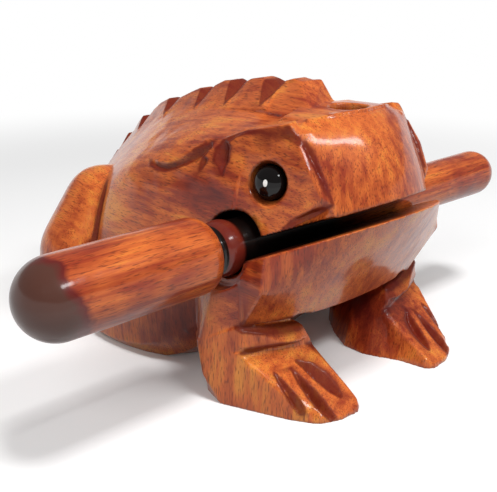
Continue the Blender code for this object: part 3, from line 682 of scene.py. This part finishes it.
# Knife cuts on the frog's left side: where the blade faces, and (x, y, z, half width, depth) along the surface
CUTS = {
    "leaf": ((0.86, 0.0, 0.5), ((25.2, 28.4, 46.6, 0.2, 0.3), (25.9, 26.4, 45.9, 0.5, 0.6),
        (26.1, 23.6, 45.6, 0.6, 0.8), (26.1, 20.5, 45.8, 0.6, 0.9), (25.7, 17.7, 46.8, 0.6, 0.9),
        (24.9, 14.9, 48.3, 0.8, 1.0), (24.2, 12.8, 49.8, 1.6, 1.4), (23.2, 10.9, 51.4, 1.5, 1.4),
        (22.0, 9.2, 53.3, 0.7, 0.4))),
    "nick": ((0.86, 0.0, 0.5), ((24.0, 9.4, 49.7, 0.8, 1.0), (24.8, 9.9, 48.2, 0.6, 0.7),
        (25.3, 10.3, 46.7, 0.15, 0.2))),
    "ear": ((0.86, 0.0, 0.5), ((22.0, 5.9, 54.0, 1.5, 0.8), (22.6, 5.4, 52.2, 2.2, 1.7),
        (23.3, 4.9, 49.8, 1.9, 1.7), (24.1, 4.2, 47.0, 0.2, 0.3))),
    "brow": ((0.62, -0.1, 0.78), ((21.8, 5.0, 54.2, 0.9, 0.8), (21.0, 3.4, 55.4, 0.8, 0.8),
        (20.5, 1.0, 56.3, 0.6, 0.6), (20.3, -1.2, 56.6, 0.45, 0.45), (19.8, -4.2, 56.9, 0.35, 0.35),
        (19.0, -7.6, 56.7, 0.3, 0.3), (18.0, -10.4, 55.9, 0.3, 0.3), (17.3, -11.6, 55.2, 0.2, 0.2))),
    "plate": ((0.1, -0.85, 0.5), ((17.1, -11.8, 55.6, 0.3, 0.4), (16.5, -13.7, 53.2, 0.55, 0.9),
        (16.2, -16.2, 49.6, 0.55, 1.0), (15.8, -18.0, 46.6, 0.45, 0.8), (15.4, -19.4, 43.9, 0.25, 0.3))),
    "cheek": ((0.6, -0.7, -0.2), ((15.8, -19.0, 43.6, 0.3, 0.3), (18.0, -16.4, 42.2, 0.5, 0.5),
        (20.6, -13.8, 40.6, 0.5, 0.5), (22.2, -11.8, 38.4, 0.4, 0.3))),
    "haunch": ((0.92, -0.22, 0.32), ((22.6, 50.0, 41.2, 0.6, 0.6), (27.0, 45.8, 36.2, 1.4, 1.7),
        (31.0, 44.8, 30.2, 2.6, 3.1), (33.6, 44.6, 22.0, 3.2, 3.7), (34.6, 44.6, 12.0, 3.0, 3.3),
        (34.0, 44.6, 3.0, 1.6, 1.6))),
    "chin": ((0.25, -0.95, 0.1), ((30.6, -7.0, 18.2, 0.5, 0.6), (29.4, -8.7, 17.9, 0.9, 1.3),
        (25.0, -10.2, 17.1, 0.9, 1.4), (19.4, -10.6, 16.2, 0.9, 1.4), (13.0, -10.8, 15.4, 0.8, 1.2))),
    "ankle": ((0.3, -0.9, 0.3), ((30.4, -8.2, 12.5, 0.3, 0.4), (28.8, -9.8, 12.6, 1.1, 1.5),
        (25.4, -11.4, 12.6, 1.2, 1.8), (21.0, -13.3, 12.4, 1.2, 1.8), (16.0, -13.7, 11.6, 1.0, 1.4),
        (11.8, -13.0, 10.2, 0.8, 1.2))),
    "toe_1": ((0.15, -0.62, 0.77), ((25.8, -13.6, 8.5, 0.1, 0.2), (25.8, -16.5, 6.6, 0.7, 1.4),
        (25.8, -19.1, 5.0, 1.1, 2.2), (25.7, -21.3, 3.6, 1.2, 2.2), (25.5, -22.9, 2.6, 0.8, 1.3),
        (25.5, -24.0, 1.9, 0.3, 0.4))),
    "toe_2": ((0.1, -0.62, 0.77), ((21.5, -14.4, 8.4, 0.1, 0.2), (21.5, -17.3, 6.5, 0.8, 1.6),
        (21.3, -20.1, 4.7, 1.3, 2.4), (21.2, -22.5, 3.2, 1.4, 2.4), (21.0, -24.3, 2.0, 1.1, 1.5),
        (20.9, -25.9, 1.0, 0.8, 0.9))),
    "toe_3": ((-0.25, -0.58, 0.77), ((19.3, -13.7, 9.0, 0.2, 0.3), (17.9, -15.9, 7.7, 1.2, 1.4),
        (17.0, -18.6, 6.0, 1.5, 1.8), (16.3, -21.4, 4.3, 1.1, 1.4), (15.7, -23.5, 3.0, 0.2, 0.3))),
}
CHATTERED = {"ear": (2.6, 0.5), "plate": (1.5, 0.5)}      # width and depth of the chisel's marks
RISE = 3.0                # how far a cutter stands out of the wood
# Gaps between the crest's teeth: y, height and half width of the ridge there, then each gap's foot (y, across, z)
# and how far it opens at the ridge
GAPS = ((11.0, 62.2, 2.0), (23.2, 61.1, 2.0), (34.8, 58.4, 2.0), (48.3, 54.3, 1.8), (60.8, 47.6, 1.5),
        (69.0, 41.6, 1.2), (75.7, 35.8, 1.0))
GAP_FEET = ((6.6, 9.6, 58.6), (19.0, 9.4, 57.2), (30.5, 9.2, 54.8), (44.0, 8.8, 51.0), (57.0, 8.2, 45.2),
            (66.0, 7.4, 39.8), (73.4, 6.4, 34.2))
GAP_HALVES = (2.0, 2.0, 2.0, 1.9, 1.8, 1.5, 1.3)


def trench(name, points, facing, side):
    """Cutter with a V section that follows the points."""
    facing = Vector(facing).normalized()
    spots = [Vector(p[:3]) for p in points]
    sections = []
    for k, (spot, (_, _, _, half, depth)) in enumerate(zip(spots, points)):
        along = spots[min(k + 1, len(spots) - 1)] - spots[max(k - 1, 0)]
        across = along.cross(facing).normalized() * half * (1 + RISE / depth)
        rim = spot + facing * RISE
        sections.append((spot - facing * depth, rim + across, rim - across))
    return loft(name, [[(side * p.x, p.y, p.z) for p in section] for section in sections])


def crest_notch(index, side):
    """V cut from the crest's ridge down to a point on its side."""
    y, z, half = GAPS[index]
    foot_y, foot_x, foot_z = GAP_FEET[index]
    wide = GAP_HALVES[index]
    slope = (GAP_FEET[index + 1][2] - foot_z) / (GAP_FEET[index + 1][0] - foot_y) if index < 6 else -0.8
    top = []
    for dy in (-wide, wide):
        top += [(-side * 0.4, y + dy * 1.7, z + 2.9 + dy * slope), (side * half, y + dy * 1.7, z + 2.9 + dy * slope),
                (side * (half + 1.6), y + dy * 1.4, z + 1.4 + dy * slope)]
    bottom = [(-side * 0.4, y, z - 0.35), (side * half, y, z - 0.35),
              (side * foot_x * 0.96, foot_y * 0.5 + y * 0.5, foot_z + 0.4)]
    return hull("notch_cut", top + bottom)


def chisel_marks(name, side, spacing):
    """Row of small wedges along a cut's path, which leave the chatter of the blade on its floor."""
    facing, points = CUTS[name]
    width, depth = CHATTERED[name]
    facing = Vector(facing).normalized()
    spots = [Vector(p[:3]) - facing * (p[4] * 0.75) for p in points[1:-1]]
    path = path_object(name + "_path", [place((side * p.x, p.y, p.z)) for p in spots])
    mesh = shaped_by(path, "Chisel marks", spacing=spacing, width=width * MM, depth=depth * MM)
    drop(path)
    marks = bpy.data.objects.new(name + "_marks", mesh)
    bpy.context.scene.collection.objects.link(marks)
    return marks


# Darker (+) or paler (-) patches, partly the wood's own tone and partly painted shade and light, such as the shade on
# the far leg's inner side: (across, y, up, radius, amount)
TONE_AND_SHADE = ((-26.5, 8.4, 42.5, 4.0, 0.22), (-26.5, 12.4, 42.6, 3.0, 0.2), (-26.3, 4.1, 42.1, 3.5, 0.2),
         (-25.0, -1.0, 41.9, 4.0, 0.12), (-27.9, -8.0, 29.3, 6.0, 0.34), (-28.3, -6.0, 23.3, 5.0, 0.22),
         (-19.2, -22.0, 35.3, 7.0, 0.14), (-25.6, -20.0, 37.4, 6.0, 0.1), (-33.0, 15.3, 17.9, 8.0, 0.12),
         (-33.0, 10.2, 11.0, 8.0, 0.12), (-31.1, -12.0, 8.2, 5.0, -0.05), (-30.0, 33.5, 35.2, 9.0, -0.12),
         (-20.0, 34.6, 46.5, 10.0, -0.1), (-21.1, -10.0, 46.2, 4.0, 0.04), (-14.3, -21.0, 46.0, 8.0, 0.14),
         (15.0, -6.0, 10.0, 8.0, 0.35), (9.6, -20.0, 33.2, 7.0, 0.16))
SHARP = 0.45              # mm beside an arris that the sanding leaves alone
WEAR = 0.7                # how hard the last passes rub everything
CUT_STAIN = (0.22, 0.28)  # mm beside a cut that are full of stain, and over which it fades
MOUTH_FADE = (1.8, 4.0)   # mm behind the lips where the painted shade of the mouth starts, and over which it grows
EYE_RING = (4.75, 0.35)   # radius that the dark ring in the eye's socket reaches, and its soft edge
BORE_RING = (7.5, 0.6)    # the same for the painted shade in the bore, and for that in the sound hole
BORE_Z = 33.7             # height that the painted shade of the bore is centred on
HOLE_RING = (4.6, 0.4)


def carve_frog(settings):
    """Frog from its CAD block: wood added where the block is plain, knife cuts, a fine skin, sanding."""
    bm = bmesh.new()
    bm.from_mesh(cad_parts["frog_body"].data)
    bmesh.ops.remove_doubles(bm, verts=bm.verts, dist=0.000001)
    frog = new_object("frog", bm)
    added = [hull("crown", both(HEAD_CROWN) + list(CROWN_MIDDLE)), hull("first_tooth", FIRST_TOOTH)]
    snout = [(a * half, y_side + (y_mid - y_side) * (1 - a * a), z_side + (z_mid - z_side) * (1 - a * a))
             for half, y_side, y_mid, z_side, z_mid in SNOUT_BULGE for a in np.linspace(-1, 1, 17)]
    added.append(hull("snout_bulge", snout + list(SNOUT_BACK)))
    cutters = []
    floor = hull("floor_cut", both([(60, -60, 0), (60, 120, 0), (60, -60, -20), (60, 120, -20)]))
    hole = [(HOLE_RADIUS * math.cos(a), HOLE_Y + HOLE_RADIUS * math.sin(a), z)
            for a in np.radians(range(0, 360, 10)) for z in (50, 70)]
    plain = [floor, hull("hole_cut", hole)]
    for side in (-1, 1):
        added.append(hull("toe_wedge", [(side * x, y, z) for x, y, z in TOE_WEDGE]))
        added.append(hull("haunch_skin", haunch_points(side)))
        for name, (facing, points) in CUTS.items():
            cutters.append(trench(name + "_cut", points, facing, side))
        plain.append(hull("toe_face_cut", [(side * x, y, up) for x, y, z in TOE_FACE for up in (z, TOE_FACE_TOP)]))
        for name in CHATTERED:
            cutters.append(chisel_marks(name, side, settings.chatter))
        cutters += [crest_notch(index, side) for index in range(len(GAPS))]
    for solid in added:
        boolean(frog, solid, "UNION")
    for knife in plain + cutters:
        boolean(frog, knife, "DIFFERENCE")
    bake(frog)
    block = frog.data.copy()
    skin(frog, settings.skin)
    distance = arris_distance(frog, block, settings.crease_reach)
    clear = np.clip((distance - SHARP * MM) / (settings.crease_reach - SHARP * MM), 0, 1)
    rub(frog, clear ** 2, settings.sanding)
    rub(frog, np.full(len(distance), WEAR), settings.arris_wear)
    mod = frog.modifiers.new("Thin", "DECIMATE")
    mod.ratio = min(1.0, settings.triangles / (2 * len(frog.data.polygons)))
    bake(frog)
    frog.data.shade_smooth()
    mark_frog(frog, cutters)
    for obj in added + plain + cutters:
        drop(obj)
    bpy.data.meshes.remove(block)
    return frog


def mark_frog(frog, cutters):
    """Stores where the wood is cut, where its arrises get a painted highlight, where painted shade lies in the mouth,
    the bore and the sound hole and a darker ring in each eye's socket, where it is darker or paler, partly as
    painted shade, and which way its fibres run.
    """
    points = points_of(frog) / MM
    x, y, z = points.T
    y = y + BELLY_Y
    n = len(points)
    normals = np.empty(n * 3)
    frog.data.vertices.foreach_get("normal", normals)
    normals = normals.reshape(n, 3)

    edges = np.empty(len(frog.data.edges) * 2, np.int64)
    frog.data.edges.foreach_get("vertices", edges)
    a, b = edges.reshape(-1, 2).T
    span = points[b] - points[a]
    length = np.linalg.norm(span, axis=1)
    rise_a = -np.einsum("ij,ij->i", span, normals[a]) / length
    rise_b = np.einsum("ij,ij->i", span, normals[b]) / length
    degree = np.maximum(np.bincount(a, minlength=n) + np.bincount(b, minlength=n), 1)
    arris = (np.bincount(a, rise_a, n) + np.bincount(b, rise_b, n)) / degree
    cheek = (np.abs(x) > 22.5) & (z > 36) & (z < 52) & (y > -9) & (y < 9)      # rounded off, so it gets no painted arris highlight
    # painted highlight on the convex arrises
    store(frog, "arris_sheen", np.where(cheek, 0, np.clip((arris - 0.14) / 0.22, 0, 1)))

    cut = cutter_distance(frog, cutters, 0.6 * MM) / MM
    store(frog, "cut", np.clip(1 - (cut - CUT_STAIN[0]) / CUT_STAIN[1], 0, 1))

    # painted shade inside the mouth's slit, growing from behind the lips
    lip = -27 + 13.6 * (x / 28.6) ** 2
    inside = np.clip((y - lip - MOUTH_FADE[0]) / MOUTH_FADE[1], 0, 1)
    slit = (z < 33.4 - 0.43 * y) & (z > 28.7 - 0.43 * y) & (y < 2)
    deep = np.where(slit, inside, 0)
    # painted shade inside the bore that holds the stick
    from_bore = np.hypot(y - BORE_Y, z - BORE_Z)
    deep = np.maximum(deep, np.clip((BORE_RING[0] - from_bore) / BORE_RING[1], 0, 1) * (np.abs(x) < 27))
    # a darker ring round each bead, in the eye's socket, at part strength
    for side in (-1, 1):
        centre, axis = eye_line(side)
        offset = np.stack([x, y, z], 1) - np.array(centre)
        level = offset @ np.array(axis)
        radius = np.sqrt(np.maximum((offset ** 2).sum(1) - level ** 2, 0))
        deep = np.maximum(deep, np.clip((EYE_RING[0] - radius) / EYE_RING[1], 0, 1) * (np.abs(level) < 6) * 0.62)
    # painted shade inside the sound hole
    from_hole = np.hypot(x, y - HOLE_Y)
    deep = np.maximum(deep, np.clip((HOLE_RING[0] - from_hole) / HOLE_RING[1], 0, 1)
                      * np.clip((60.6 - z) / 5, 0, 1) * (z > 40))
    store(frog, "deep", deep)

    # darker or paler patches, partly the wood's own tone and partly painted shade and light
    tone_and_shade = np.zeros(n)
    for cx, cy, cz, radius, amount in TONE_AND_SHADE:
        tone_and_shade += amount * np.exp(-((x - cx) ** 2 + (y - cy) ** 2 + (z - cz) ** 2) / radius ** 2)
    store(frog, "tone_and_shade", tone_and_shade)
    front = np.clip((-normals[:, 1] - 0.5) / 0.25, 0, 1)
    low = np.clip((27 - z) / 6, 0, 1)
    store(frog, "upright", np.maximum(front, low))
    store(frog, "slanting", np.clip((-normals[:, 1] - 0.2) / 0.2, 0, 1) * np.clip((0.75 + normals[:, 1]) / 0.2, 0, 1)
          * np.clip((30 - z) / 4, 0, 1) * np.clip((z - 16) / 3, 0, 1))


class GUIRO_OT_frog(bpy.types.Operator):
    """Carve the frog from its block and lacquer it"""
    bl_idname = "guiro.frog"
    bl_label = "Frog"

    def execute(self, context):
        scene = context.scene
        frog = carve_frog(scene.guiro_carving)
        colours = scene.guiro_colours
        # stain in the cuts, a painted highlight on the arrises, and painted shade in the mouth, the bore and the
        # sound hole, which at part strength also darkens a ring in each eye's socket
        marks = (("cut", 0.85, colours.maroon), ("arris_sheen", 0.28, colours.arris_sheen), ("deep", 1.0, colours.painted_shade))
        wood = lacquered_wood("lacquered_acacia_carved", colours, ALONG_BODY,
                              (("upright", UPRIGHT), ("slanting", SLANTING)), marks)
        finish_piece(frog, "frog_body", wood)
        return {"FINISHED"}


class GUIRO_OT_stick(bpy.types.Operator):
    """Turn the stick and lay it in the cross bore"""
    bl_idname = "guiro.stick"
    bl_label = "Stick"

    def execute(self, context):
        scene = context.scene
        wood = lacquered_wood("lacquered_acacia_turned", scene.guiro_colours, (0, 0, STICK_TURN), end_grain=True)
        matrix = Matrix.Translation(place((0, BORE_Y, STICK_Z))) @ Matrix.Rotation(STICK_TURN, 4, "Z")
        stick = turn_piece("stick", stick_profile(), scene.guiro_stick.rows, scene.guiro_stick.sides, wood, matrix)
        finish_piece(stick, "striker", wood)
        return {"FINISHED"}


class GUIRO_OT_eyes(bpy.types.Operator):
    """Set the two black beads in the cheeks"""
    bl_idname = "guiro.eyes"
    bl_label = "Eyes"

    def execute(self, context):
        glass = black_bead("black_glass_bead", context.scene.guiro_colours)
        for side, node in ((-1, "eye_right"), (1, "eye_left")):
            centre, axis = eye_line(side)
            profile = [(-BEAD_DEPTH, 0), (-BEAD_DEPTH, BEAD_RADIUS - 0.3), (0.3 - BEAD_DEPTH, BEAD_RADIUS),
                       (-BEAD_EDGE, BEAD_RADIUS)]
            for k in range(1, 25):
                a = math.radians(90 * k / 24)
                profile.append((BEAD_DOME * math.sin(a) - BEAD_EDGE, BEAD_RADIUS * math.cos(a)))
            turn = Vector((1, 0, 0)).rotation_difference(axis).to_matrix().to_4x4()
            bead = turn_piece("bead_right" if side < 0 else "bead_left", profile, 80, 64, glass,
                              Matrix.Translation(place(centre)) @ turn)
            finish_piece(bead, node, glass)
        return {"FINISHED"}


ROOM_RADIUS = 6.0         # metres; the backdrop stands far off and low, so that the gloss sees little of it
ROOM_HEIGHT = 1.1
# Lamps: name, direction from the frog, distance and size in metres, watts, and whether the gloss mirrors them. The
# first throws the shadow, the second lifts the flank, and the third's image is the highlight on the snout.
LAMPS = (("overhead", (-0.047, -0.313, 0.949), 0.75, (0.14, 0.14), 3.35, False),
         ("fill", (-0.68, -0.42, 0.60), 0.7, (0.3, 0.3), 1.65, False),
         ("softbox", (0.06, -0.64, 0.73), 0.6, (0.31, 0.075), 1.45, True))
LAMP_AIM = (0, -0.02, 0.03)
SKY = 0.25                # strength of the even light from all round
VIEW_HEADING = 43.04      # degrees round from straight on
VIEW_TILT = 19.99
VIEW_FROM = (-130.0, -117.4, 90.0)
VIEW_LENS = 800 / 497 * 36


def area_light(name, direction, distance, size, watts, mirrored):
    light = bpy.data.lights.new(name, "AREA")
    light.shape = "RECTANGLE"
    light.size, light.size_y = size
    light.energy = watts
    obj = bpy.data.objects.new(name, light)
    direction = Vector(direction).normalized()
    obj.location = Vector(LAMP_AIM) + direction * distance
    obj.rotation_mode = "QUATERNION"
    obj.rotation_quaternion = direction.to_track_quat("Z", "Y")
    obj.visible_glossy = mirrored
    bpy.context.scene.collection.objects.link(obj)


class GUIRO_OT_stage(bpy.types.Operator):
    """Make the white table, the lamps and the camera"""
    bl_idname = "guiro.stage"
    bl_label = "Stage"

    def execute(self, context):
        scene = context.scene
        bm = bmesh.new()
        bmesh.ops.create_circle(bm, cap_ends=True, segments=64, radius=ROOM_RADIUS)
        rim = bmesh.ops.extrude_edge_only(bm, edges=bm.edges[:])["geom"]
        bmesh.ops.translate(bm, verts=[g for g in rim if isinstance(g, bmesh.types.BMVert)], vec=(0, 0, ROOM_HEIGHT))
        table = new_object("table", bm)
        table.data.materials.append(white_table("matt_white_table", scene.guiro_colours))

        for lamp in LAMPS:
            area_light(*lamp)

        world = bpy.data.worlds.new("studio")
        world.use_nodes = True
        tree = world.node_tree
        tree.nodes.clear()
        sky = add(tree, "ShaderNodeBackground", {}, {"Color": (1, 1, 1, 1), "Strength": SKY})
        add(tree, "ShaderNodeOutputWorld", {}, {"Surface": sky.outputs[0]})
        scene.world = world
        scene.view_settings.view_transform = "Standard"

        camera = bpy.data.cameras.new("camera")
        camera.sensor_width = 36
        camera.lens = VIEW_LENS
        camera.clip_start = 0.01
        camera.clip_end = 20
        eye = bpy.data.objects.new("camera", camera)
        eye.location = place(VIEW_FROM)
        eye.rotation_euler = (math.radians(90 - VIEW_TILT), 0, math.radians(-VIEW_HEADING))
        scene.collection.objects.link(eye)
        scene.camera = eye
        return {"FINISHED"}


class GUIRO_PT_panel(bpy.types.Panel):
    """Buttons and sizes of the frog guiro"""
    bl_idname = "GUIRO_PT_panel"
    bl_label = "Frog guiro"
    bl_space_type = "VIEW_3D"
    bl_region_type = "UI"
    bl_category = "Guiro"

    def draw(self, context):
        layout = self.layout
        for name in ("frog", "stick", "eyes", "stage"):
            layout.operator("guiro." + name)
        scene = context.scene
        for group in (scene.guiro_carving, scene.guiro_stick, scene.guiro_colours):
            box = layout.box()
            for key in group.__annotations__:
                box.prop(group, key)


CLASSES = (GuiroCarving, GuiroStick, GuiroColours, GUIRO_OT_frog, GUIRO_OT_stick, GUIRO_OT_eyes, GUIRO_OT_stage,
           GUIRO_PT_panel)


def register():
    for cls in CLASSES:
        bpy.utils.register_class(cls)
    bpy.types.Scene.guiro_carving = bpy.props.PointerProperty(type=GuiroCarving)
    bpy.types.Scene.guiro_stick = bpy.props.PointerProperty(type=GuiroStick)
    bpy.types.Scene.guiro_colours = bpy.props.PointerProperty(type=GuiroColours)


def unregister():
    del bpy.types.Scene.guiro_colours
    del bpy.types.Scene.guiro_stick
    del bpy.types.Scene.guiro_carving
    for cls in reversed(CLASSES):
        bpy.utils.unregister_class(cls)


def main():
    register()
    bpy.ops.guiro.stage()
    bpy.ops.guiro.frog()
    bpy.ops.guiro.stick()
    bpy.ops.guiro.eyes()


if __name__ == "__main__":
    main()
